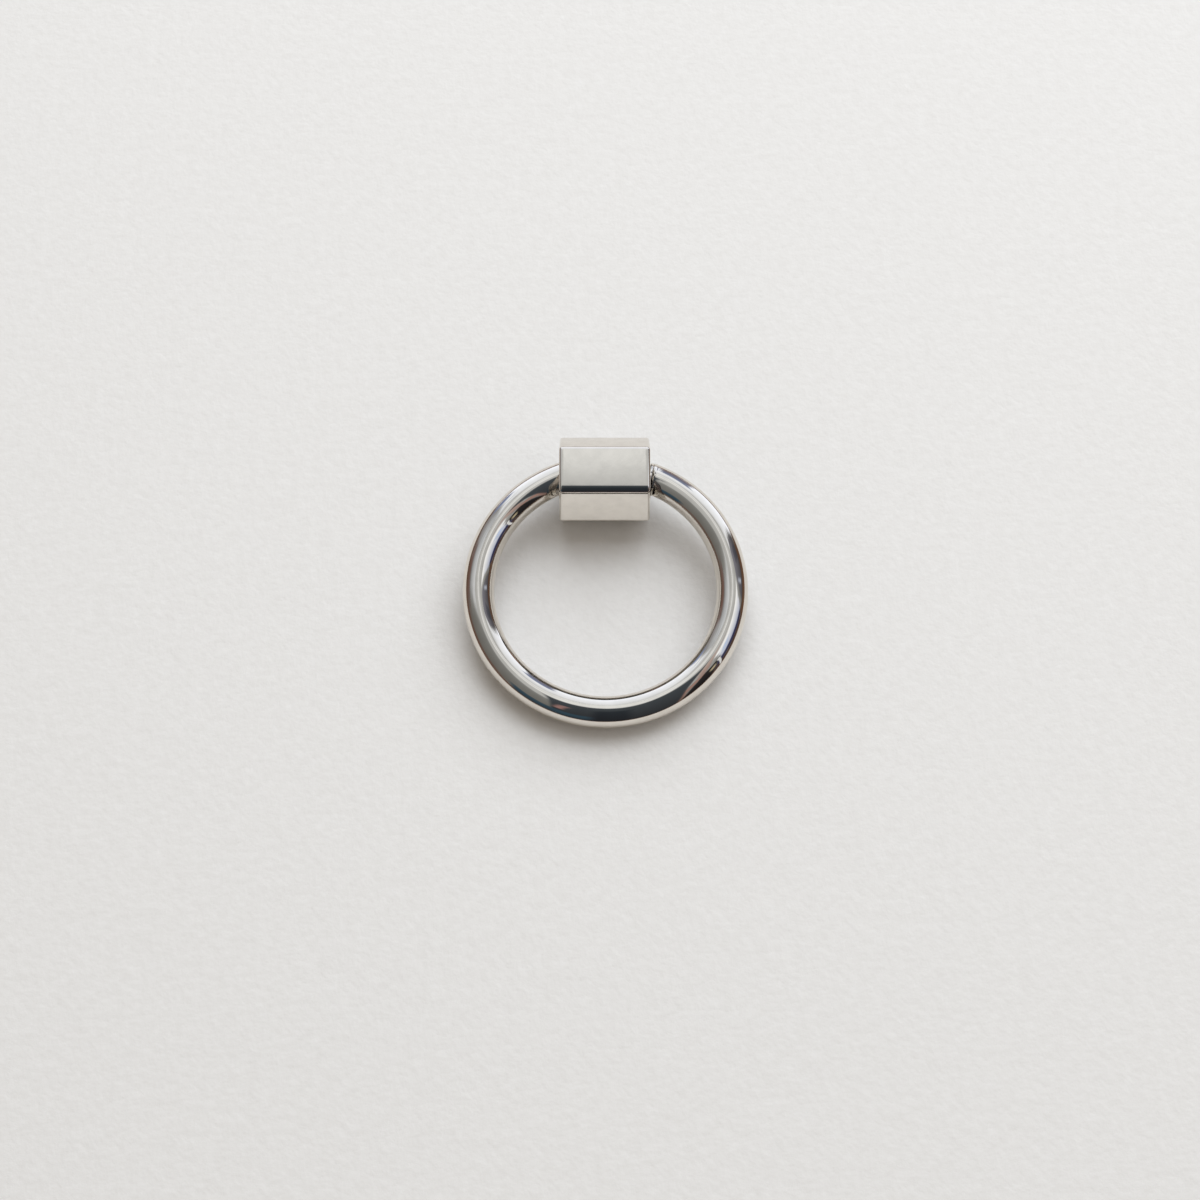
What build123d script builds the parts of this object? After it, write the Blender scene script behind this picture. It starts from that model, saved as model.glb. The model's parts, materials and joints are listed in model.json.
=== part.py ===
from build123d import *
import math
import os

# A screw-lock ring clasp: a round-wire ring with a gap, bridged by a hexagonal
# screw sleeve. The sleeve screws onto a short threaded plug at one side of the
# gap. Once it is off the thread it slides round the wire and leaves the gap open.
#
# The pieces are made in the ring's own frame: ring centre at the origin, ring
# plane XY, gap at +Y. The whole clasp is then laid down as it comes to rest on a
# flat surface: on one long edge of the sleeve and on the far side of the ring.

# ---- driving dimensions, mm and degrees ----
wire_dia = 3.0
ring_radius = 12.0       # ring centre to the wire's centreline
straight_half = 4.5      # half of the straight stretch that bridges the gap
seam_chamfer = 0.08      # half of the groove left where the pin is soldered on

sleeve_length = 8.65
sleeve_flats = 7.35      # across flats
sleeve_turn = 5.0        # how far the tightened flats stand off the ring plane
long_edge_round = 0.45
worn_edge_round = 0.80   # the long edge, beside the top flat, that was buffed hardest
end_edge_round = 0.28
mouth_chamfer = 0.20
sleeve_end_gap = 0.24    # from the pin's joint to the sleeve's end

thread_dia = 6.0
thread_pitch = 0.75
thread_engaged = 1.1     # length of thread in mesh when the clasp is closed
thread_runout = 0.5      # tapped length past the plug's tip
thread_slack = 0.04      # radial play beyond the nominal thread
plug_recess = 0.30       # from the sleeve's end in to the plug's back
plug_chamfer = 0.4

pin_length = 2.3         # plain guide pin, from its joint to its tip
pin_tip_round = 0.5

# ---- worked out from them ----
wire_radius = wire_dia / 2
gap_offset = math.sqrt(ring_radius**2 - straight_half**2)   # ring centre to sleeve axis
kink = math.asin(straight_half / ring_radius)               # turn from arc to straight
sleeve_right = straight_half - sleeve_end_gap
sleeve_left = sleeve_right - sleeve_length
plug_back = sleeve_left + plug_recess
plug_tip = plug_back + thread_engaged
pin_tip = straight_half - pin_length
plug_radius = (thread_dia - 1.2269 * thread_pitch) / 2      # root of the outer thread
bore_radius = (thread_dia - 1.0825 * thread_pitch) / 2      # crest of the inner thread
tapped_radius = thread_dia / 2 + thread_slack               # root of the inner thread
edge_centre = (sleeve_flats - 2 * long_edge_round) / math.sqrt(3)  # axis to a rounding's centre


def lying_tilt():
    """Tilt of the ring plane, in radians, when the clasp lies on a flat surface.

    The sleeve's lowest edge and the ring's far side touch the surface, so
    (gap_offset + ring_radius) sin t
        = edge_centre cos(30 - sleeve_turn - t) + long_edge_round - wire_radius.
    """
    lean = math.radians(30 - sleeve_turn)
    along = gap_offset + ring_radius - edge_centre * math.sin(lean)
    across = edge_centre * math.cos(lean)
    rise = long_edge_round - wire_radius
    return math.asin(rise / math.hypot(along, across)) + math.atan2(across, along)


def lying_place():
    """Where the ring frame goes, with the origin under the middle of the clasp's box."""
    tilt = lying_tilt()
    far_side = -ring_radius * math.cos(tilt) - wire_radius
    turn = math.radians(sleeve_turn) + tilt
    sleeve_side = gap_offset * math.cos(tilt) + edge_centre * math.cos(turn) + long_edge_round
    centre = (0, -(far_side + sleeve_side) / 2, wire_radius + ring_radius * math.sin(tilt))
    return Location(centre, (math.degrees(tilt), 0, 0))


def along_gap(x):
    """Plane square to the sleeve's axis at distance x along it, facing +X."""
    return Plane(origin=(x, gap_offset, 0), x_dir=(0, 1, 0), z_dir=(1, 0, 0))


def gap_block():
    """Block that fills the gap, from the plug's square back to the pin's mitred joint.

    The mitre halves the turn between the arc and the straight stretch.
    """
    reach_x = 2 * wire_dia * math.sin(kink / 2)
    reach_y = 2 * wire_dia * math.cos(kink / 2)
    corners = (
        (plug_back, gap_offset - reach_y),
        (plug_back, gap_offset + reach_y),
        (straight_half + reach_x, gap_offset + reach_y),
        (straight_half - reach_x, gap_offset - reach_y),
    )
    return extrude(Polygon(*corners, align=None), amount=2 * wire_dia, both=True)


def soften_seam(piece):
    """Chamfer round the face of the pin's soldered joint."""
    middle = Vector(straight_half, gap_offset, 0)
    face = min(piece.faces(), key=lambda f: (f.center() - middle).length)
    return chamfer(face.edges(), seam_chamfer)


def make_ring_wire():
    return soften_seam(Torus(ring_radius, wire_radius) - gap_block())


def make_guide_pin():
    pin = extrude(along_gap(pin_tip) * Circle(wire_radius), amount=pin_length + wire_dia)
    tip = pin.faces().sort_by(Axis.X)[0]
    pin = fillet(tip.edges(), pin_tip_round)
    return soften_seam(pin & gap_block())


def make_threaded_plug():
    plug = extrude(along_gap(plug_back) * Circle(plug_radius), amount=thread_engaged)
    return chamfer(plug.faces().sort_by(Axis.X)[-1].edges(), plug_chamfer)


def uppermost_front_edge(sleeve):
    """The long edge between the top flat and the flat that faces the ring's centre."""
    return max(sleeve.edges().filter_by(Axis.X), key=lambda e: e.center().Z - e.center().Y)


def make_hex_sleeve():
    outline = along_gap(sleeve_left) * RegularPolygon(sleeve_flats / 2, 6, major_radius=False)
    sleeve = extrude(outline, amount=sleeve_length)
    worn_edge = uppermost_front_edge(sleeve)
    sleeve = fillet(sleeve.edges().filter_by(Axis.X) - [worn_edge], long_edge_round)
    sleeve = fillet(uppermost_front_edge(sleeve), worn_edge_round)
    ends = sleeve.faces().filter_by(GeomType.PLANE).filter_by(Axis.X)
    sleeve = fillet(ends.edges(), end_edge_round)
    sleeve -= extrude(along_gap(sleeve_left) * Circle(bore_radius), amount=sleeve_length)
    tapped_length = plug_recess + thread_engaged + thread_runout
    sleeve -= extrude(along_gap(sleeve_left) * Circle(tapped_radius), amount=tapped_length)
    for face in (sleeve.faces().sort_by(Axis.X)[0], sleeve.faces().sort_by(Axis.X)[-1]):
        sleeve = chamfer(face.inner_wires().edges(), mouth_chamfer)
    return sleeve.rotate(Axis((0, gap_offset, 0), (1, 0, 0)), sleeve_turn)


nodes = {
    "ring_wire": make_ring_wire(),
    "threaded_plug": make_threaded_plug(),
    "guide_pin": make_guide_pin(),
    "hex_sleeve": make_hex_sleeve(),
}

os.makedirs("parts", exist_ok=True)
place = lying_place()
for name, piece in nodes.items():
    export_step(place * piece, f"parts/{name}.step")
    print(name, round(piece.volume, 3))
print("tilt", round(math.degrees(lying_tilt()), 3))
print("ring centre", place.position)
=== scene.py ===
# %% [markdown]
# # A screw-lock ring clasp in bright nickel plate
# The real object is a round wire bent into a ring with a gap in it. A hexagonal sleeve bridges
# the gap: it screws onto a short threaded plug on one side, and when it is undone it slides
# round the wire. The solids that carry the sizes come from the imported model, and everything
# made here is laid over them in the same place.

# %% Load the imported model
import json
import math

import bpy
import numpy as np
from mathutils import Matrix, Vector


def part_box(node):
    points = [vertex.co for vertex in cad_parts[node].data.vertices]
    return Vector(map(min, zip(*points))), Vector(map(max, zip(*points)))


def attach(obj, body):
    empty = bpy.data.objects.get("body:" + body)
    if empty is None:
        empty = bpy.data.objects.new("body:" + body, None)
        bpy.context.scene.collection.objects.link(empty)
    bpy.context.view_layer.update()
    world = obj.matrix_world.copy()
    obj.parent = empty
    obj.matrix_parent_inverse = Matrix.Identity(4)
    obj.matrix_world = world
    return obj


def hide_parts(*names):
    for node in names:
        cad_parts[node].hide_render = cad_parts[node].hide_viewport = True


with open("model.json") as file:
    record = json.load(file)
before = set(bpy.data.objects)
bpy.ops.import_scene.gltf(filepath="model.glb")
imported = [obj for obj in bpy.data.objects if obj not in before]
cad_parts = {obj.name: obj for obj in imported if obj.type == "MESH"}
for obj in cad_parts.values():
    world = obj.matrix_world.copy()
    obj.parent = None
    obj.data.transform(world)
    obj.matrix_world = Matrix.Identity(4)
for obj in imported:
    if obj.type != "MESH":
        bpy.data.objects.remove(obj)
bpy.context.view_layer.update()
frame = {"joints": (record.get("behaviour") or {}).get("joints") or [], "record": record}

# %% [markdown]
# ## Sizes
# Nothing is measured twice. The ring's centre and the way it faces come from the joint that
# carries the sleeve round it, the wire's thickness from the straight guide pin, and the
# sleeve's width from the mount on its top flat. Only the sizes of small details, such as the
# thread, are written here.

# %% Read the sizes from the frame
MM = 0.001


def unit(vector):
    """The vector divided by its length."""
    vector = np.array(vector, float)
    return vector / np.linalg.norm(vector)


def span(node, axis):
    """Lowest and highest coordinate of a node along one axis, to a hundredth of a millimetre."""
    low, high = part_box(node)
    return round(low[axis], 5), round(high[axis], 5)


joint = frame["joints"][0]
ring_centre = np.array(joint["pos_m"])
ring_right = np.array([1.0, 0.0, 0.0])
ring_up = unit(-np.array(joint["axis"]))
ring_away = np.cross(ring_up, ring_right)

pin_low, pin_high = span("guide_pin", 2)
wire_radius = (pin_high - pin_low) / 2
ring_radius = span("ring_wire", 0)[1] - wire_radius
sleeve_left, sleeve_right = span("hex_sleeve", 0)
pin_tip = span("guide_pin", 0)[0]
plug_back, plug_tip = span("threaded_plug", 0)

straight_half = 4.5 * MM
gap_offset = math.sqrt(ring_radius**2 - straight_half**2)
half_kink = math.asin(straight_half / ring_radius) / 2

flat_mount = next(m for m in frame["record"]["mounts"] if m["name"] == "sleeve_flat")
flat_axis = np.array(flat_mount["axis"])
sleeve_axis_point = ring_centre + gap_offset * ring_away
sleeve_half = round(float(np.dot(np.array(flat_mount["pos_m"]) - sleeve_axis_point, flat_axis)), 6)
flat_angle = math.atan2(np.dot(flat_axis, ring_up), np.dot(flat_axis, ring_away))

print("wire radius", wire_radius, "ring radius", ring_radius, "half across flats", sleeve_half)
print("sleeve", sleeve_left, sleeve_right, "flat angle", round(math.degrees(flat_angle), 2))


def in_ring(right, away, up):
    """Points from distances along the ring's own axes: centre + right + away + up."""
    parts = np.broadcast_arrays(right, away, up)
    right, away, up = (part[..., None] for part in parts)
    return ring_centre + right * ring_right + away * ring_away + up * ring_up


# %% [markdown]
# ## One helper for every skin
# Plated metal is a mirror, and a mirror shows every flaw of a mesh. So each piece is a fine
# grid of points worked out from a formula, not a box with modifiers. The helper joins the
# rings of a grid with four-sided faces and closes the ends. It also gives each point a normal
# weighted by face area: the broad faces then stay flat right up to their narrow roundings.

# %% Turn a grid of points into a closed, smooth mesh


def corner_sums(points, corners, total):
    """Adds each face's area-weighted normal, the cross product of its diagonals or sides,
    to the total of every point it meets. Also gives each face's normal and first corner."""
    a, b, c = (points[corners[:, k]] for k in (0, 1, 2))
    d = points[corners[:, -1]]
    across = np.cross(c - a, d - b) if corners.shape[1] == 4 else np.cross(b - a, c - a)
    for k in range(corners.shape[1]):
        np.add.at(total, corners[:, k], across)
    return across, a


def skin(name, rings, poles=None):
    """Closed mesh over rings[i, j], point j of ring i.

    Every ring closes round. Without poles the last ring joins the first; with poles, a fan of
    triangles joins each end ring to its pole. The faces are turned outwards by the sign of
    the enclosed volume, the sum over the faces of (normal . point) / 3.
    """
    count, width = rings.shape[:2]
    points = rings.reshape(-1, 3)
    index = np.arange(count * width).reshape(count, width)
    lower = index if poles is None else index[:-1]
    upper = np.roll(index, -1, axis=0)[: len(lower)]
    quads = np.stack([lower, np.roll(lower, -1, 1), np.roll(upper, -1, 1), upper], -1)
    quads = quads.reshape(-1, 4)
    fans = np.zeros((0, 3), int)
    if poles is not None:
        first = np.stack([np.full(width, len(points)), np.roll(index[0], -1), index[0]], -1)
        last = np.stack([np.full(width, len(points) + 1), index[-1], np.roll(index[-1], -1)], -1)
        fans = np.concatenate([first, last])
        points = np.concatenate([points, np.array(poles)])
    normals = np.zeros_like(points)
    volume = 0.0
    middle = points.mean(axis=0)
    for corners in (quads, fans):
        across, start = corner_sums(points, corners, normals)
        volume += float(np.sum(across * (start - middle))) / 6
    if volume < 0:
        quads, fans, normals, volume = quads[:, ::-1], fans[:, ::-1], -normals, -volume
    mesh = bpy.data.meshes.new(name)
    mesh.from_pydata(points.tolist(), [], quads.tolist() + fans.tolist())
    mesh.shade_smooth()
    normals /= np.linalg.norm(normals, axis=1, keepdims=True)
    mesh.normals_split_custom_set_from_vertices(normals.tolist())
    piece = bpy.data.objects.new(name, mesh)
    bpy.context.scene.collection.objects.link(piece)
    triangles = 2 * len(quads) + len(fans)
    print(f"{name}: {triangles} triangles, {volume * 1e9:.1f} cubic mm")
    return piece


def note_along(piece, along):
    """Keeps a vector on each point, in mm, that runs with the wire: two parts across its
    section and one along its length, so that a pattern can follow the bend."""
    extra = len(piece.data.vertices) - along.shape[0] * along.shape[1]
    flat = along.reshape(-1, 3) / MM
    flat = np.concatenate([flat, np.stack([flat[0] * (0, 0, 1), flat[-1] * (0, 0, 1)])[:extra]])
    layer = piece.data.attributes.new("along_wire", "FLOAT_VECTOR", "POINT")
    layer.data.foreach_set("vector", flat.ravel())


# %% [markdown]
# ## The bent ring wire
# The wire is drawn rod, bent round a former and cut at each side of the gap. The left end is
# cut square to the sleeve's axis and carries the threaded plug. The right end is cut like a
# picture frame's mitre, at half the turn between the bend and the straight guide pin that is
# soldered on there. A torus would need booleans and would leave ragged mirror faces, so the
# grid itself ends on the two cut planes.

# %% Rows near a cut end
seam_round = 0.09 * MM
polish_depth = 0.0022 * MM
lip_place = 0.21 * MM
lip_width = 0.085 * MM
lip_height = 0.034 * MM
lip_unevenness = 0.011 * MM
section_count = 112
section_angle = np.linspace(0, 2 * math.pi, section_count, endpoint=False)
cap_share = np.array([0.15, 0.5, 0.8, 0.97])
print(section_count, "points round the wire, and a lip of solder up to",
      round((lip_height + 3 * lip_unevenness) / MM, 3), "mm high")


def joint_rows():
    """Distance from the joint and sinking of the surface for the rows beside a seam.

    First the flat end, from near its middle to its rim, then a quarter round of seam_round.
    """
    turn = np.linspace(0, math.pi / 2, 8)
    flat_sink = (wire_radius - seam_round) * (1 - cap_share) + seam_round
    distance = np.concatenate([0 * cap_share, seam_round * (1 - np.cos(turn))])
    sink = np.concatenate([flat_sink, seam_round * (1 - np.sin(turn))])
    return distance[:, None], sink[:, None]


def hand_polish(along, angle):
    """Slow rise and fall of the surface left by hand polishing: three long sine waves, which
    turn by 0.55, 0.31 and 0.83 radians a millimetre along the wire and wind round it."""
    wave = np.sin(0.55e3 * along + 2 * angle) + np.sin(0.31e3 * along - angle + 1.3)
    return polish_depth * (wave + np.sin(0.83e3 * along + 3 * angle + 0.7))


def solder_lip(from_joint):
    """Uneven rise beside the soldered joint: a bell curve round lip_place, exp(-(gap from
    lip_place / lip_width)^2), whose height changes round the wire by three sine waves."""
    bell = np.exp(-((from_joint - lip_place) / lip_width) ** 2)
    uneven = np.sin(2 * section_angle + 0.6) + np.sin(5 * section_angle + 2.1)
    return bell * (lip_height + lip_unevenness * (uneven + np.sin(9 * section_angle)))


# %% Carry the round section round the bend


def mitre_angle(radius):
    """Ring angle at which the right-hand cut meets the surface at this distance from the
    ring's axis: the cut plane's own angle plus acos(plane distance / radius)."""
    plane_distance = straight_half * math.cos(half_kink) - gap_offset * math.sin(half_kink)
    return -half_kink + np.arccos(plane_distance / radius)


def make_ring_wire():
    """A point at section angle v and section radius s lies at ring_radius + s cos v from the
    ring's axis and s sin v above its plane. Its ring angle runs from the square cut on the
    left, acos(plug_back / radius), round the far side to the mitre on the right. The rows lie
    closest together beside the solder."""
    distance, sink = joint_rows()
    cap_sink = wire_radius * (1 - cap_share)[:, None]
    long_bend = np.linspace(0, 0.985, 430)
    beside_solder = np.linspace(0.986, 0.998, 26)
    bend_share = np.concatenate([long_bend, beside_solder])[:, None]
    share = np.concatenate([0 * cap_sink, bend_share, 0 * distance + 1])
    offset = np.concatenate([np.zeros((len(share) - len(distance), 1)), -distance[::-1]])
    sink = np.concatenate([cap_sink, 0 * bend_share, sink[::-1]])
    arc = ring_radius * (2 * math.pi - 4 * half_kink)
    clear_of_seam = np.clip((1 - share) * arc / MM, 0, 1)
    swell = np.where(sink > 0, 0, clear_of_seam * hand_polish(share * arc, section_angle))
    from_joint = (1 - share) * arc - offset
    radius = wire_radius - sink + swell + solder_lip(from_joint)
    from_axis = ring_radius + radius * np.cos(section_angle)
    left_cut = np.arccos(plug_back / from_axis)
    turn = 2 * math.pi + mitre_angle(from_axis) - left_cut
    angle = left_cut + turn * share + offset / from_axis
    height = radius * np.sin(section_angle)
    rings = in_ring(from_axis * np.cos(angle), from_axis * np.sin(angle), height)
    cut_middle = math.sqrt(ring_radius**2 - plug_back**2)
    poles = [in_ring(plug_back, cut_middle, 0.0), in_ring(straight_half, gap_offset, 0.0)]
    piece = skin("bent_ring_wire", rings, poles)
    along = np.broadcast_arrays(radius * np.cos(section_angle), height, share * arc)
    note_along(piece, np.stack(along, -1))
    return piece


ring_wire = make_ring_wire()

# %% [markdown]
# ## The guide pin
# On the right a short straight piece of the same wire is soldered to the bend. The closed
# sleeve hides all of it, and its rounded tip shows only when the sleeve has travelled away.

# %% Make the guide pin
pin_tip_round = 0.5 * MM


def cut_lean(radius):
    """How far along the bridge a mitred end moves for each point round the section."""
    return radius * np.cos(section_angle) * math.tan(half_kink)


def make_guide_pin():
    """A straight tube of the wire's radius, from the mitre to a tip rounded by a quarter
    circle. The first rows, beside the solder, lie closest together."""
    distance, sink = joint_rows()
    turn = np.linspace(0, math.pi / 2, 12)[:, None]
    from_joint = straight_half + cut_lean(wire_radius - sink) - distance
    beside_solder = np.linspace(0.985, 0.72, 18)
    plain_length = np.linspace(0.65, 0.05, 10)
    body = np.concatenate([beside_solder, plain_length])[:, None]
    body_start = straight_half + cut_lean(wire_radius) - seam_round
    body_end = pin_tip + pin_tip_round
    body_x = body_end + (body_start - body_end) * body
    tip_x = pin_tip + pin_tip_round * (1 - np.sin(turn)) + 0 * section_angle
    tip_radius = wire_radius - pin_tip_round * (1 - np.cos(turn))
    face_radius = (wire_radius - pin_tip_round) * np.array([0.9, 0.6, 0.2])[:, None]
    face_x = pin_tip + 0 * face_radius + 0 * section_angle
    x = np.concatenate([from_joint, body_x, tip_x, face_x])
    radius = np.concatenate([wire_radius - sink, wire_radius + 0 * body, tip_radius, face_radius])
    to_joint = straight_half + cut_lean(wire_radius) - x
    radius = radius + solder_lip(to_joint)
    rings = in_ring(x, gap_offset + radius * np.cos(section_angle), radius * np.sin(section_angle))
    poles = [in_ring(straight_half, gap_offset, 0.0), in_ring(pin_tip, gap_offset, 0.0)]
    piece = skin("soldered_guide_pin", rings, poles)
    along = np.broadcast_arrays(radius * np.cos(section_angle), radius * np.sin(section_angle), x)
    note_along(piece, np.stack(along, -1))
    return piece


guide_pin = make_guide_pin()

# %% [markdown]
# ## The screw thread
# A thread is a ridge wound on a cylinder. Here it is a height on the grid: the distance along
# the axis in pitches, less the turn round it, says how far a point is from the ridge's middle.
# The sleeve's thread uses the same formula half a pitch away, so that the two mesh.

# %% Height of a thread's ridge
thread_pitch = 0.75 * MM
thread_crest = 3.0 * MM
thread_root = thread_crest - 1.2269 * thread_pitch / 2
bore_radius = thread_crest - 1.0825 * thread_pitch / 2
tapped_radius = thread_crest + 0.04 * MM
flank = 0.625
plug_top = 0.125
sleeve_top = 0.25
print("thread", round(2 * thread_crest / MM, 2), "mm across, pitch", thread_pitch / MM, "mm")


def ridge(x, angle, half_top, phase):
    """1 on the ridge's top and 0 in the groove, with straight flanks between.

    half_top and flank are half the top's width and a flank's width, as shares of half a pitch,
    and phase shifts the ridge along the axis by that share of a pitch."""
    place = (x / thread_pitch - angle / (2 * math.pi) + phase) % 1.0
    from_top = abs(place - 0.5) * 2
    return np.clip((half_top + flank - from_top) / flank, 0, 1)


# %% Make the threaded plug
plug_edge_round = 0.06 * MM
tip_drop = 0.4 * MM
tip_slope = 2
thread_start = 0.25 * MM


def make_threaded_plug():
    """The back face on the wire's end, then the thread between its root and its crest, cut
    back at the tip by a steep cone."""
    face_radius = (thread_root - plug_edge_round) * np.array([0.2, 0.6, 0.9])[:, None]
    turn = np.linspace(0, math.pi / 2, 6)[:, None]
    edge_radius = thread_root - plug_edge_round * (1 - np.sin(turn))
    edge_x = plug_back + plug_edge_round * (1 - np.cos(turn))
    thread_x = np.linspace(plug_back + plug_edge_round, plug_tip, 50)[1:, None]
    rise = np.clip((thread_x - plug_back) / thread_start, 0, 1)
    height = ridge(thread_x, section_angle, plug_top, 0.5) * rise
    thread_radius = thread_root + (thread_crest - thread_root) * height
    tip_cone = thread_root - tip_drop + tip_slope * (plug_tip - thread_x)
    thread_radius = np.minimum(thread_radius, tip_cone)
    end_radius = (thread_root - tip_drop) * np.array([0.93, 0.6, 0.2])[:, None]
    x = np.concatenate([plug_back + 0 * face_radius, edge_x, thread_x, plug_tip + 0 * end_radius])
    circle = 0 * section_angle
    radius = np.concatenate([face_radius + circle, edge_radius + circle,
                             thread_radius, end_radius + circle])
    rings = in_ring(x, gap_offset + radius * np.cos(section_angle), radius * np.sin(section_angle))
    poles = [in_ring(plug_back, gap_offset, 0.0), in_ring(plug_tip, gap_offset, 0.0)]
    return skin("plug_with_thread", rings, poles)


threaded_plug = make_threaded_plug()

# %% [markdown]
# ## The hexagonal screw sleeve
# The sleeve is turned and tapped from hexagon bar, then tumbled and buffed before plating.
# Buffing crowns the flats a little and rolls the edges over, and those two things decide what
# such a mirror shows. So each flat is a shallow parabola and each edge an arc. The edge
# between the top flat and the front one met the wheel longest and is rounder than the rest.

# %% Outline of the buffed hexagon
long_edge_round = 0.45 * MM
worn_edge_round = 0.80 * MM
edge_rounds = (worn_edge_round,) + 5 * (long_edge_round,)
crown = 0.045 * MM
flat_columns = 30
edge_columns = 14
tan_30 = math.tan(math.pi / 6)


def direction(angle):
    """Unit vectors at an angle in the section: away from the ring's axis, and up."""
    angle = np.asarray(angle, float)
    return np.stack([np.cos(angle), np.sin(angle)], -1)


def flat_end(edge_round):
    """Half-width, height and slope of a crowned flat where it runs into an edge's arc.

    The arc's centre lies on the line between two flats, so that half-width is
    (height - radius cos slope) tan 30 + radius sin slope. It is found by a few rounds of
    putting the answer back in."""
    sideways = (sleeve_half - edge_round) * tan_30
    for _ in range(8):
        slope = math.atan(2 * crown * sideways / (sleeve_half * tan_30) ** 2)
        height = sleeve_half - crown * (sideways / (sleeve_half * tan_30)) ** 2
        sideways = (height - edge_round * math.cos(slope)) * tan_30 + edge_round * math.sin(slope)
    return sideways, height, slope


def outline_columns():
    """Base point, bulge and normal of each column of the outline, flat by flat.

    A flat's base lies sideways t along it at the height half the width less the crown times
    (t / half the flat) squared, and has no bulge. An edge's base is its arc's centre, at
    (height - radius cos slope) / cos 30 from the axis, and its bulge is the radius."""
    bases, bulges, normals = [], [], []
    for side in range(6):
        angle = flat_angle + side * math.pi / 3
        start = flat_end(edge_rounds[side - 1])[0]
        end, height, slope = flat_end(edge_rounds[side])
        sideways = np.linspace(-start, end, flat_columns, endpoint=False)[:, None]
        rise = sleeve_half - crown * (sideways / (sleeve_half * tan_30)) ** 2
        bases.append(rise * direction(angle) + sideways * direction(angle + math.pi / 2))
        bulges.append(np.zeros(flat_columns))
        normals.append(np.tile(direction(angle), (flat_columns, 1)))
        radius = edge_rounds[side]
        from_axis = (height - radius * math.cos(slope)) / math.cos(math.pi / 6)
        bases.append(np.tile(from_axis * direction(angle + math.pi / 6), (edge_columns, 1)))
        bulges.append(np.full(edge_columns, radius))
        normals.append(direction(angle + np.linspace(slope, math.pi / 3 - slope, edge_columns)))
    return np.concatenate(bases), np.concatenate(bulges)[:, None], np.concatenate(normals)


column_base, column_bulge, column_normal = outline_columns()
print(len(column_base), "points round the hexagon, crowned by", round(crown / MM, 3), "mm")


def hexagon(inset):
    """The outline moved inwards by inset: base point + (bulge - inset) x normal."""
    return column_base + (column_bulge - inset) * column_normal


# %% Make the sleeve
end_edge_round = 0.28 * MM
mouth_chamfer = 0.20 * MM
tapped_length = 1.9 * MM
thread_end = 0.2 * MM
column_angle = np.arctan2(*hexagon(0.0).T[::-1])


def outside_rows():
    """Position along the axis and inset of the rows from one end face to the other."""
    turn = np.linspace(0, math.pi / 2, 9)
    x_left = sleeve_left + end_edge_round * (1 - np.cos(turn))
    inset = end_edge_round * (1 - np.sin(turn))
    body = np.linspace(sleeve_left + end_edge_round, sleeve_right - end_edge_round, 40)[1:-1]
    x_right = sleeve_left + sleeve_right - x_left[::-1]
    x = np.concatenate([x_left, body, x_right])
    return x, np.concatenate([inset, 0 * body, inset[::-1]])


def bore_rows():
    """Position along the axis and radius all round, for the rows from the right-hand mouth
    through the plain bore and the thread to the left-hand mouth. Each mouth is a cone of 45
    degrees, and the larger radius counts."""
    mouth_x = sleeve_right - mouth_chamfer * np.array([0, 0.1, 0.9, 1.0])
    plain_x = np.linspace(sleeve_right - mouth_chamfer, sleeve_left + tapped_length, 14)[1:]
    thread_x = np.linspace(sleeve_left + tapped_length, sleeve_left, 70)[1:]
    x = np.concatenate([mouth_x, plain_x, thread_x])[:, None]
    depth = np.clip((sleeve_left + tapped_length - x) / thread_end, 0, 1)
    height = ridge(x, column_angle, sleeve_top, 0.0)
    radius = bore_radius + (tapped_radius - bore_radius) * depth * (1 - height)
    right_mouth = bore_radius + mouth_chamfer - (sleeve_right - x)
    left_mouth = tapped_radius + mouth_chamfer - (x - sleeve_left)
    return x, np.maximum(radius, np.maximum(right_mouth, left_mouth))


def make_hex_sleeve():
    """One grid that closes both ways: along the outside, over the right-hand end face, back
    through the bore and over the left-hand end face. The end faces blend the outline into
    the mouth's circle. All but the outside is marked, to be rougher and darkened as painted shade."""
    x_out, inset = outside_rows()
    rows = np.stack([hexagon(step) for step in inset])
    x_in, bore = bore_rows()
    circle = np.stack([bore * np.cos(column_angle), bore * np.sin(column_angle)], -1)
    blend = np.array([0.25, 0.5, 0.75])[:, None, None]
    right_face = rows[-1] * (1 - blend) + circle[0] * blend
    left_face = circle[-1] * (1 - blend) + rows[0] * blend
    section = np.concatenate([rows, right_face, circle, left_face])
    along = np.concatenate([x_out, np.full(3, sleeve_right), x_in[:, 0], np.full(3, sleeve_left)])
    rings = in_ring(along[:, None], gap_offset + section[..., 0], section[..., 1])
    piece = skin("hexagonal_screw_sleeve", rings)
    # The end faces and bore are marked: the plate is rougher there, and its colour is darkened as
    # painted shade.
    unbuffed_and_shaded = np.repeat(np.arange(len(rings)) >= len(rows), rings.shape[1]).astype(float)
    piece.data.attributes.new("unbuffed_and_shaded", "FLOAT", "POINT").data.foreach_set("value", unbuffed_and_shaded)
    return piece


hex_sleeve = make_hex_sleeve()

# %% [markdown]
# ## Put the skins on the frame
# Each skin rides on the body of the solid that it stands for, so a turn of the joint carries
# the sleeve round the wire with nothing left behind.

# %% Hang each skin on its body and hide the solid it stands for
skins = (
    (ring_wire, "ring_wire", "ring", "plated_wire"),
    (guide_pin, "guide_pin", "ring", "plated_wire"),
    (threaded_plug, "threaded_plug", "ring", "plated_thread"),
    (hex_sleeve, "hex_sleeve", "sleeve", "plated_sleeve"),
)
for piece, node, body, slot in skins:
    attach(piece, body)
    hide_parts(node)
    print(piece.name, "rides on", body)

# %% [markdown]
# ## Bright plate
# Nickel or rhodium plate over polished brass is nearly a mirror, slightly warm, with a
# roughness just above none. What makes it look real is small: long shallow waves along the
# wire from the polishing belt, a finer ripple on the flats, a faint unevenness of tone.
# These come from noise in the material, because they are far too small to model.

# %% Helpers for materials


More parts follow.
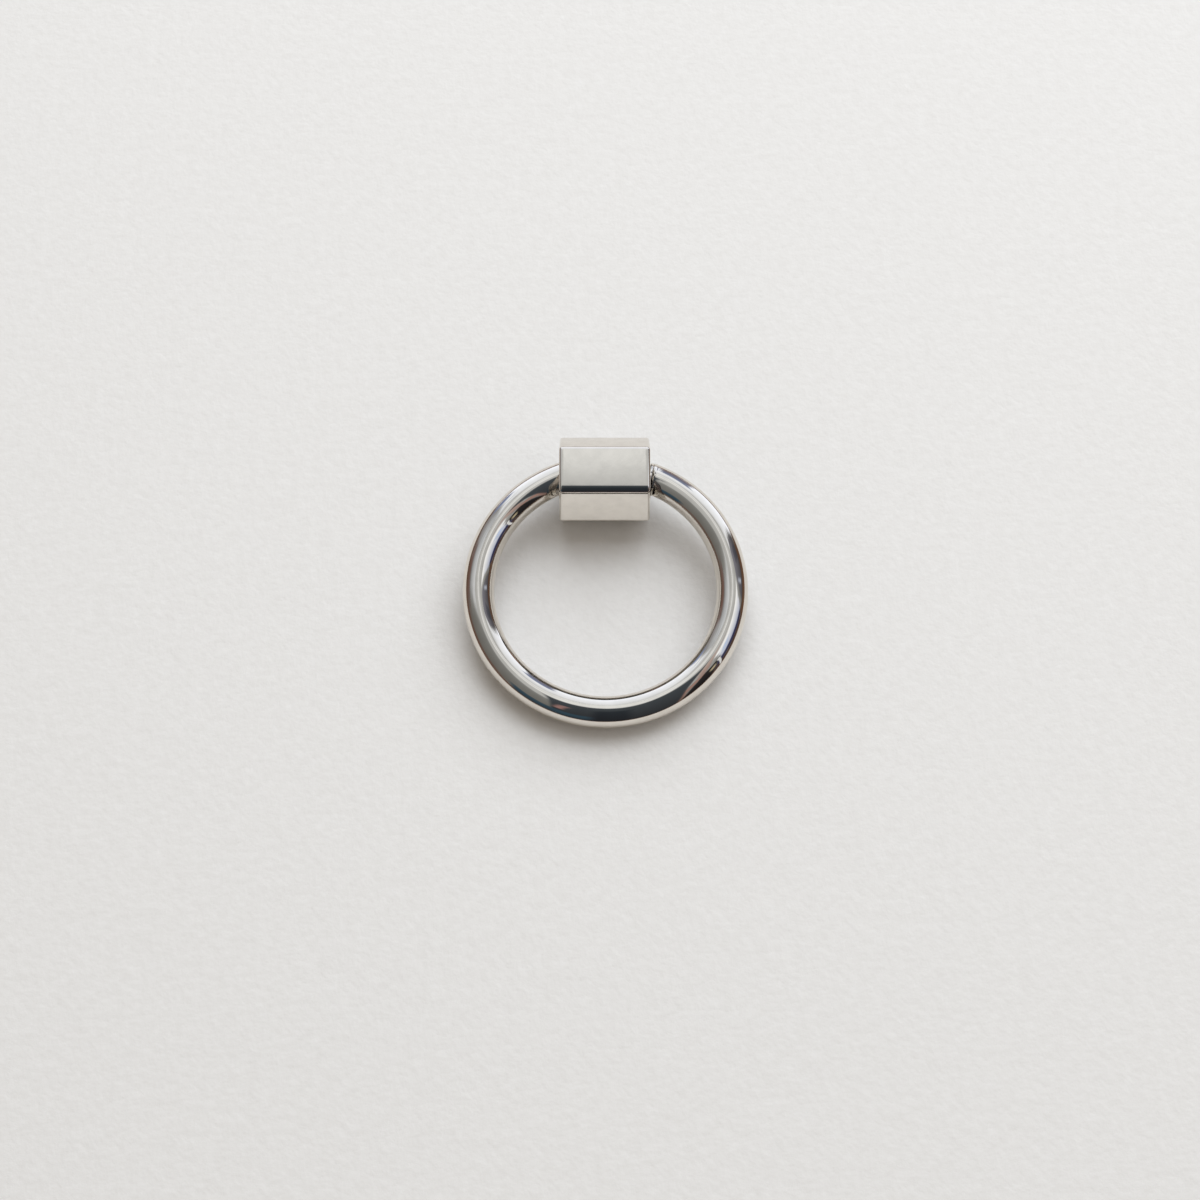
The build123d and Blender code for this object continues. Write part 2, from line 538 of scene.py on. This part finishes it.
def new_material(name):
    """A material with an empty node tree and its output node."""
    material = bpy.data.materials.new(name)
    material.use_nodes = True
    material.node_tree.nodes.clear()
    output = material.node_tree.nodes.new("ShaderNodeOutputMaterial")
    return material, material.node_tree, output


def add_node(tree, kind, inputs=None, **settings):
    """A new node. Settings are its own properties, and inputs are values or sockets."""
    node = tree.nodes.new("ShaderNode" + kind)
    for key, value in settings.items():
        setattr(node, key, value)
    for key, value in (inputs or {}).items():
        if isinstance(value, bpy.types.NodeSocket):
            tree.links.new(value, node.inputs[key])
        else:
            node.inputs[key].default_value = value
    return node


def between(tree, value, low, high, to_low, to_high):
    """The value carried from low..high to to_low..to_high, and held at the ends."""
    node = add_node(tree, "MapRange", {0: value, 1: low, 2: high, 3: to_low, 4: to_high})
    return node.outputs[0]


def noise(tree, vector, scale, detail=2.0, stretch=(1, 1, 1)):
    """Noise over a vector, stretched by a factor on each axis."""
    mapping = add_node(tree, "Mapping", {"Vector": vector, "Scale": stretch})
    node = add_node(tree, "TexNoise", {
        "Vector": mapping.outputs[0], "Scale": scale, "Detail": detail,
    })
    return node.outputs["Fac"]


# %% The plated surface
wear_scale = 1.3
tone_scale = 0.9
toned_down = 0.93
as_cut_roughness = 0.22
# Painted shade: the darker colour of the sleeve's end faces and bore.
painted_end_shade = (0.68, 0.65, 0.60, 1)


def plate(name, colour, roughness, vector_source, waves):
    """Metal whose roughness follows fine wear and whose normal follows a list of waves.

    Each wave is (scale per millimetre, stretch, detail, height in micrometres). A marked end
    face or bore is rougher, as unbuffed metal, and its colour is darkened as painted shade."""
    material, tree, output = new_material(name)
    if vector_source == "along_wire":
        vector = add_node(tree, "Attribute", attribute_name="along_wire").outputs["Vector"]
        unit_scale = 1.0
    else:
        vector = add_node(tree, "TexCoord").outputs["Object"]
        unit_scale = 1000.0
    bump = None
    for scale, stretch, detail, height in waves:
        wave = noise(tree, vector, scale * unit_scale, detail, stretch)
        inputs = {"Height": wave, "Distance": height * 1e-6, "Strength": 1.0}
        if bump is not None:
            inputs["Normal"] = bump.outputs[0]
        bump = add_node(tree, "Bump", inputs)
    wear = noise(tree, vector, wear_scale * unit_scale, 6.0)
    low, high = roughness
    rough = between(tree, wear, 0.35, 0.7, low, high)
    unbuffed_and_shaded = add_node(tree, "Attribute", attribute_name="unbuffed_and_shaded").outputs["Fac"]
    rough = add_node(tree, "Math", {0: unbuffed_and_shaded, 1: as_cut_roughness, 2: rough},
                     operation="MULTIPLY_ADD").outputs[0]
    tone = noise(tree, vector, tone_scale * unit_scale, 5.0)
    dull = tuple(channel * toned_down for channel in colour[:3]) + (1,)
    ramp = add_node(tree, "ValToRGB", {"Fac": tone})
    ramp.color_ramp.elements[0].position = 0.35
    ramp.color_ramp.elements[0].color = colour
    ramp.color_ramp.elements[1].position = 0.7
    ramp.color_ramp.elements[1].color = dull
    # Painted shade: the marked end faces and bore take the darker colour in place of the plate's
    # own.
    metal = add_node(tree, "Mix", {0: unbuffed_and_shaded, 6: ramp.outputs[0], 7: painted_end_shade},
                     data_type="RGBA").outputs[2]
    shader = add_node(tree, "BsdfPrincipled", {
        "Base Color": metal, "Metallic": 1.0, "Roughness": rough,
        "Normal": bump.outputs[0],
    })
    tree.links.new(shader.outputs[0], output.inputs["Surface"])
    return material


# %% Finish the four pieces
bright = (0.78, 0.735, 0.67, 1)
thread_grey = (0.50, 0.48, 0.45, 1)
wire_waves = ((0.9, (1, 1, 0.14), 1.0, 3.2), (3.5, (1, 1, 0.06), 2.0, 0.6))
sleeve_waves = ((0.55, (0.7, 1, 1), 1.0, 3.0), (2.2, (1, 1, 1), 3.0, 2.0))
thread_waves = ((3.0, (1, 1, 1), 3.0, 1.5),)
wire_plate = plate("bright_plate_on_wire", bright, (0.02, 0.05), "along_wire", wire_waves)
sleeve_plate = plate("bright_plate_on_sleeve", bright, (0.03, 0.08), "object", sleeve_waves)
thread_plate = plate("plate_on_thread", thread_grey, (0.16, 0.32), "object", thread_waves)
for piece, material in (
    (ring_wire, wire_plate), (guide_pin, wire_plate),
    (threaded_plug, thread_plate), (hex_sleeve, sleeve_plate),
):
    piece.data.materials.append(material)
    print(piece.name, "is finished in", material.name)

# %% [markdown]
# ## Floor
# The clasp lies on a sheet of heavy, slightly toothy paper. The sheet is one large plane, and
# its tooth is bump, because the grain is only a fraction of a millimetre.

# %% The finish of the paper
tooth_scale = 1500.0
cockle_scale = 160.0
paper_tone_scale = 900.0
cockle_height = 4e-5
tooth_height = 4.6e-5
paper_dark = (0.755, 0.753, 0.748, 1)
paper_light = (0.785, 0.785, 0.783, 1)


def paper_finish():
    """Matt white whose tone follows fine noise, with a slow cockle and a fine tooth as bump."""
    material, tree, output = new_material("toothy_paper")
    vector = add_node(tree, "TexCoord").outputs["Object"]
    tooth = noise(tree, vector, tooth_scale, 4.0)
    cockle = noise(tree, vector, cockle_scale, 2.0)
    bump = add_node(tree, "Bump", {"Height": cockle, "Distance": cockle_height, "Strength": 1.0})
    bump = add_node(tree, "Bump", {"Height": tooth, "Distance": tooth_height,
                                   "Normal": bump.outputs[0]})
    tone = noise(tree, vector, paper_tone_scale, 5.0)
    ramp = add_node(tree, "ValToRGB", {"Fac": tone})
    ramp.color_ramp.elements[0].position = 0.3
    ramp.color_ramp.elements[0].color = paper_dark
    ramp.color_ramp.elements[1].position = 0.7
    ramp.color_ramp.elements[1].color = paper_light
    shader = add_node(tree, "BsdfPrincipled", {
        "Base Color": ramp.outputs[0], "Roughness": 0.9, "Specular IOR Level": 0.15,
        "Normal": bump.outputs[0],
    })
    tree.links.new(shader.outputs[0], output.inputs["Surface"])
    return material


# %% Lay the paper down
sheet_half = 4.0


def make_floor():
    """A square sheet at the height of zero."""
    mesh = bpy.data.meshes.new("paper_sheet")
    corners = [(-sheet_half, -sheet_half, 0), (sheet_half, -sheet_half, 0),
               (sheet_half, sheet_half, 0), (-sheet_half, sheet_half, 0)]
    mesh.from_pydata(corners, [], [(0, 1, 2, 3)])
    sheet = bpy.data.objects.new("paper_sheet", mesh)
    bpy.context.scene.collection.objects.link(sheet)
    mesh.materials.append(paper_finish())
    print(sheet.name, "is", 2 * sheet_half, "m wide")


make_floor()

# %% [markdown]
# ## The room in the mirror
# A plated surface has no look of its own: it shows the room. In a studio, cards and flags
# stand round such an object, and so they do here. Each card is a patch of a large sphere with
# soft, slightly uneven edges. Only mirror rays see the cards, so they add neither light nor
# shadow to the paper.

# %% The shape of a card
share = np.linspace(0, 1, 33)
card_across, card_along = np.meshgrid(share, share)
print("each card has", card_across.size, "points")


def band(around, upward):
    """Directions between two azimuths and two heights, and the band's size, all in degrees."""
    a = np.radians(around[0] + (around[1] - around[0]) * card_across)
    e = np.radians(upward[0] + (upward[1] - upward[0]) * card_along)
    points = np.stack([np.cos(e) * np.cos(a), np.cos(e) * np.sin(a), np.sin(e)], -1)
    return points, (around[1] - around[0], upward[1] - upward[0])


def board(*corners):
    """Directions inside a shape with four corners on a round map of the sky, and its size.

    The zenith is the centre of the map, and a direction lies at its angle from the zenith, in
    degrees, to the right for +X and up for +Y. The corners go round the shape, and the colours
    run from the first two to the last two."""
    a, b, c, d = (np.array(corner, float) for corner in corners)
    s, t = card_across[..., None], card_along[..., None]
    place = (a * (1 - s) + b * s) * (1 - t) + (d * (1 - s) + c * s) * t
    from_zenith = np.linalg.norm(place, axis=-1, keepdims=True)
    angle = np.radians(from_zenith)
    level = place * np.sin(angle) / np.maximum(from_zenith, 1e-6)
    points = np.concatenate([level, np.cos(angle)], -1)
    return points, (np.linalg.norm(b - a + c - d) / 2, np.linalg.norm(d - a + c - b) / 2)


# %% The light of a card


def linear(colour):
    """A screen colour, as bytes, carried to light values by the sRGB curve. A window may be
    brighter than the screen's 255."""
    tone = np.array(colour, float) / 255
    return np.where(tone < 0.04045, tone / 12.92, ((tone + 0.055) / 1.055) ** 2.4)


def soft_edge(tree, coordinate, steepness, shift):
    """0 on the card's edge and 1 inside: the distance from the nearer end, times steepness,
    plus a shift, on a smooth step."""
    far = add_node(tree, "Math", {0: 1.0, 1: coordinate}, operation="SUBTRACT").outputs[0]
    near = add_node(tree, "Math", {0: coordinate, 1: far}, operation="MINIMUM").outputs[0]
    depth = add_node(tree, "Math", {0: near, 1: steepness, 2: shift},
                     operation="MULTIPLY_ADD").outputs[0]
    return add_node(tree, "MapRange", {0: depth, 1: 0.0, 2: 1.0, 3: 0.0, 4: 1.0},
                    interpolation_type="SMOOTHSTEP").outputs[0]


def card_finish(name, colour, size, soft, wobble=0.25):
    """Light of the card's colour, divided by how much of it the plate gives back. Mirror rays
    find the card by themselves, so it isn't put on the list of lamps."""
    material, tree, output = new_material(name)
    material.cycles.emission_sampling = "NONE"
    coordinates = add_node(tree, "TexCoord")
    uneven = noise(tree, coordinates.outputs["Object"], 6.0, 3.0)
    shift = between(tree, uneven, 0.3, 0.7, -wobble, wobble)
    place = add_node(tree, "SeparateXYZ", {0: coordinates.outputs["UV"]})
    mask = None
    for axis in (0, 1):
        if soft[axis] <= 0:
            continue
        edge = soft_edge(tree, place.outputs[axis], size[axis] / soft[axis], shift)
        if mask is None:
            mask = edge
        else:
            mask = add_node(tree, "Math", {0: mask, 1: edge}, operation="MULTIPLY").outputs[0]
    pair = colour if np.ndim(colour) == 2 else (colour, colour)
    ramp = add_node(tree, "ValToRGB", {"Fac": place.outputs[1]})
    for element, screen in zip(ramp.color_ramp.elements, pair):
        element.color = tuple(linear(screen) / bright[:3]) + (1,)
    surface = add_node(tree, "Emission", {"Color": ramp.outputs[0], "Strength": 1.0})
    if mask is not None:
        clear = add_node(tree, "BsdfTransparent")
        surface = add_node(tree, "MixShader", {0: mask, 1: clear.outputs[0], 2: surface.outputs[0]})
    tree.links.new(surface.outputs[0], output.inputs["Surface"])
    return material


# %% The card itself


def stage_card(name, points, material):
    """Mesh over a grid of points, seen by mirror and glass rays alone."""
    index = np.arange(points[..., 0].size).reshape(points.shape[:2])
    quads = np.stack([index[:-1, :-1], index[:-1, 1:], index[1:, 1:], index[1:, :-1]], -1)
    mesh = bpy.data.meshes.new(name)
    mesh.from_pydata(points.reshape(-1, 3).tolist(), [], quads.reshape(-1, 4).tolist())
    corner = np.zeros(len(mesh.loops), int)
    mesh.loops.foreach_get("vertex_index", corner)
    place = np.stack([card_across.ravel()[corner], card_along.ravel()[corner]], -1)
    mesh.uv_layers.new(name="place").data.foreach_set("uv", place.ravel())
    mesh.materials.append(material)
    patch = bpy.data.objects.new(name, mesh)
    bpy.context.scene.collection.objects.link(patch)
    patch.visible_camera = False
    patch.visible_diffuse = False
    patch.visible_shadow = False


def hang(*cards):
    """Each row is a card's name, its shape, its colour, its distance in metres, the degrees
    over which its edges fade across and along, and how far noise moves that fade where it
    isn't the usual amount. The colour is one screen colour, or a pair that runs along the
    shape."""
    for name, shape, colour, distance, soft, *wobble in cards:
        points, size = shape
        stage_card(name, distance * points, card_finish(name, colour, size, soft, *wobble))
    print(len(cards), "cards, from", cards[0][0], "to", cards[-1][0])


# %% Walls and ceiling
all_round = (0, 360)
hang(
    ("wall_low", band(all_round, (-0.5, 40)), ((104, 99, 94), (126, 124, 119)), 2.0, (0, 0)),
    ("wall_high", band(all_round, (40, 75)), ((126, 124, 119), (174, 172, 167)), 2.0, (0, 0)),
    ("ceiling", band(all_round, (75, 90)), ((174, 172, 167), (184, 182, 177)), 2.0, (0, 0)),
    ("lit_ceiling", board((-3.6, 0), (3.6, 0), (3.6, 34), (-3.6, 34)),
     (219, 217, 211), 1.9, (2.5, 10), 0.05),
    ("far_ceiling", board((-12, 9), (13, 9), (17, 36), (-16, 36)),
     (214, 212, 207), 1.92, (9, 8), 0.05),
    ("cool_wall", band((126, 172), (24, 72)), ((114, 112, 112), (218, 218, 216)), 1.88, (12, 14)),
    ("dim_wall", band((162, 258), (7, 73)), ((94, 90, 84), (122, 121, 116)), 0.163, (18, 10)),
    ("shelves", band((131, 213), (-1, 31)), ((92, 66, 56), (110, 88, 80)), 1.8, (8, 8)),
    ("skirting", band(all_round, (-1, 11)), ((84, 60, 44), (100, 80, 68)), 1.75, (0, 5)),
)

# %% Windows
hang(
    ("main_window", band((37, 131), (-13, 68)), ((266, 268, 274), (210, 209, 206)), 1.7, (5, 16)),
    ("window_fade", band((118, 156), (-1, 64)), ((112, 104, 100), (190, 192, 192)), 1.65, (22, 10)),
    ("window_blue", band((120, 134), (2, 27)), ((104, 96, 104), (126, 142, 174)), 1.64, (5, 6)),
    ("window_sill", band((60, 118), (-1, 5)), (148, 124, 112), 1.62, (8, 3)),
    ("window_post", band((59, 74), (-1, 40)), ((100, 80, 70), (122, 134, 160)), 1.6, (3, 6)),
    ("side_window", board((64, -24), (66, 9), (19, 15), (23, -5)),
     ((150, 156, 176), (250, 247, 240)), 1.7, (3, 6)),
    ("window_bar", board((51, -17), (54, -9), (38, -1), (35, -7)), (176, 188, 212), 1.69, (3, 5)),
    ("side_sill", band((333, 367), (9, 30)), ((60, 48, 50), (42, 50, 88)), 1.68, (3, 6)),
    ("side_shelf", band((332, 372), (-1, 13)), (68, 50, 44), 1.67, (3, 5)),
)

# %% Furniture
hang(
    ("cupboard_foot", band((2, 37), (-1, 23)), ((104, 74, 54), (66, 54, 48)), 1.5, (4, 5)),
    ("cupboard", board((60, 49), (76, 9), (26, 15), (19, 17)),
     ((70, 66, 66), (118, 116, 122)), 1.49, (3, 4)),
    ("cupboard_side", board((58, 41), (62, 33), (38, 19), (35, 24)),
     ((60, 58, 60), (84, 84, 92)), 1.48, (2, 5)),
    ("cupboard_rail", board((63, 23), (62, 18), (36, 14), (36, 16)),
     ((172, 176, 186), (140, 142, 148)), 1.47, (1.5, 5)),
    ("doorway", board((60, -76), (84, -42), (48, -13), (36, -20)),
     ((26, 24, 26), (44, 40, 38)), 1.46, (4, 5)),
    ("lamp_shade", band((331, 338), (20, 34)), (164, 150, 122), 1.45, (3, 4)),
    ("bright_strip", board((88, -35), (89, -32), (47, -15), (46, -18)),
     (208, 206, 202), 1.44, (1, 5)),
    ("pipe_foot", board((54, -88), (68, -80), (50, -47), (40, -52)),
     ((78, 64, 56), (132, 106, 96)), 1.43, (3, 3)),
    ("pipe", board((39, -56), (50, -53), (38, -15), (30, -21)),
     ((134, 104, 94), (152, 120, 108)), 1.42, (3, 3)),
    ("pipe_top", board((32, -23), (38, -16), (15, 7), (10, 1)),
     ((150, 120, 108), (172, 156, 146)), 1.41, (3, 4)),
)

# %% The person who leans over the table
hang(
    ("person", board((-56, -105), (75, -98), (14, 3), (-4, 5)),
     ((38, 37, 38), (64, 68, 71)), 0.16, (4, 7)),
    ("person_front", board((-20, -105), (26, -102), (8, -14), (-4, -14)),
     ((32, 32, 34), (42, 46, 50)), 0.157, (8, 12)),
    ("coat_sleeve", band((214, 266), (-1, 31)), ((40, 50, 57), (54, 74, 85)), 0.154, (7, 8)),
    ("bare_arm", board((-28, -48), (-19, -50), (-7, -22), (-12, -20)),
     ((148, 112, 104), (130, 104, 100)), 0.151, (3, 5)),
)

# %% [markdown]
# A second kind of card lies flat. The paper is a small sheet on a brown table, and the clasp
# mirrors the table past its edge. The camera sees the floor alone, which stays plain.

# %% The table past the paper's edge


def flat_ring(inner, outer, height):
    """Points of a flat ring, in metres: radius = inner + (outer - inner) x share cubed, so
    that they lie closest together at the paper's edge."""
    radius = inner + (outer - inner) * card_along**3
    angle = 2 * math.pi * card_across
    return np.stack([radius * np.cos(angle), radius * np.sin(angle), 0 * radius + height], -1)


paper_edge = 0.046
table_reach = 1.9
table_height = 0.0001
table_brown = ((104, 76, 56), (84, 60, 44))
table_finish = card_finish("table_in_the_mirror", table_brown, (360, 100), (0, 20), 0)
stage_card("table", flat_ring(paper_edge, table_reach, table_height), table_finish)
print("the table begins", paper_edge, "m from the middle")

# %% [markdown]
# ## Light
# The paper is lit by three large soft lamps, two for the lower and the upper half of the main
# window and a weak one at the side, over an even fill from the sky. The mirror rays don't see
# the lamps, because the cards already stand for the windows.

# %% Sky fill and background
sky_fill = 0.345
sky_colour = (1.0, 0.88, 0.75, 1)
backdrop = (0.77, 0.77, 0.765, 1)


def make_sky():
    """Plain pale background for camera, mirror and glass rays, and a warm fill for the rest."""
    world = bpy.data.worlds.new("soft_sky")
    bpy.context.scene.world = world
    world.use_nodes = True
    tree = world.node_tree
    tree.nodes.clear()
    path = add_node(tree, "LightPath")
    camera_ray, glossy_ray = path.outputs["Is Camera Ray"], path.outputs["Is Glossy Ray"]
    seen = add_node(tree, "Math", {0: camera_ray, 1: glossy_ray}, operation="MAXIMUM")
    seen = add_node(tree, "Math", {0: seen.outputs[0], 1: path.outputs["Is Transmission Ray"]},
                    operation="MAXIMUM")
    fill = add_node(tree, "Background", {"Color": sky_colour, "Strength": sky_fill})
    plain = add_node(tree, "Background", {"Color": backdrop, "Strength": 1.0})
    mix = add_node(tree, "MixShader", {0: seen.outputs[0], 1: fill.outputs[0], 2: plain.outputs[0]})
    add_node(tree, "OutputWorld", {"Surface": mix.outputs[0]})


make_sky()
print("sky fill", sky_fill)

# %% The three lamps
daylight = (0.96, 1.0, 1.04)


def soft_lamp(name, azimuth, elevation, distance, size, sheet_light):
    """Area lamp, with a width and a height, that adds sheet_light to a level white sheet.

    The light that a small lamp of power P puts on the sheet is P sin e / (pi d^2), and that
    makes the sheet glow as a card of strength P sin e / (pi^2 d^2)."""
    a, e = math.radians(azimuth), math.radians(elevation)
    place = distance * np.array([math.cos(e) * math.cos(a), math.cos(e) * math.sin(a), math.sin(e)])
    lamp = bpy.data.lights.new(name, "AREA")
    lamp.shape = "RECTANGLE"
    lamp.size, lamp.size_y = size
    lamp.energy = sheet_light * math.pi**2 * distance**2 / math.sin(e)
    lamp.color = daylight
    holder = bpy.data.objects.new(name, lamp)
    holder.location = place.tolist()
    holder.rotation_euler = (math.pi / 2 - e, 0, a + math.pi / 2)
    holder.visible_glossy = False
    bpy.context.scene.collection.objects.link(holder)
    print(name, "power", round(lamp.energy, 3), "W")


soft_lamp("window_lamp", 70, 40, 0.9, (1.2, 0.8), 0.68)
soft_lamp("upper_window_lamp", 88, 64, 0.9, (0.7, 0.5), 0.21)
soft_lamp("side_lamp", -5, 48, 0.9, (0.5, 0.5), 0.05)

# %% [markdown]
# ## Camera
# The camera looks down over the clasp from the front, about 24 degrees off the plumb line, a
# hand's length away, with a short telephoto's angle of view.

# %% Place the camera
camera_aim = np.array([-0.509, -1.881, 2.531]) * MM
camera_lean = math.radians(23.65)
camera_distance = 185.48 * MM
camera_data = bpy.data.cameras.new("camera")
camera_data.lens = 58.9
camera_data.sensor_width = 36
camera_data.clip_start = 0.01
camera_data.clip_end = 20
camera = bpy.data.objects.new("camera", camera_data)
camera_side = np.array([0, -math.sin(camera_lean), math.cos(camera_lean)])
camera.location = camera_aim + camera_distance * camera_side
camera.rotation_euler = (camera_lean, 0, 0)
bpy.context.scene.collection.objects.link(camera)
bpy.context.scene.camera = camera
bpy.context.scene.view_settings.view_transform = "Standard"
print("camera at", [round(value, 4) for value in camera.location])
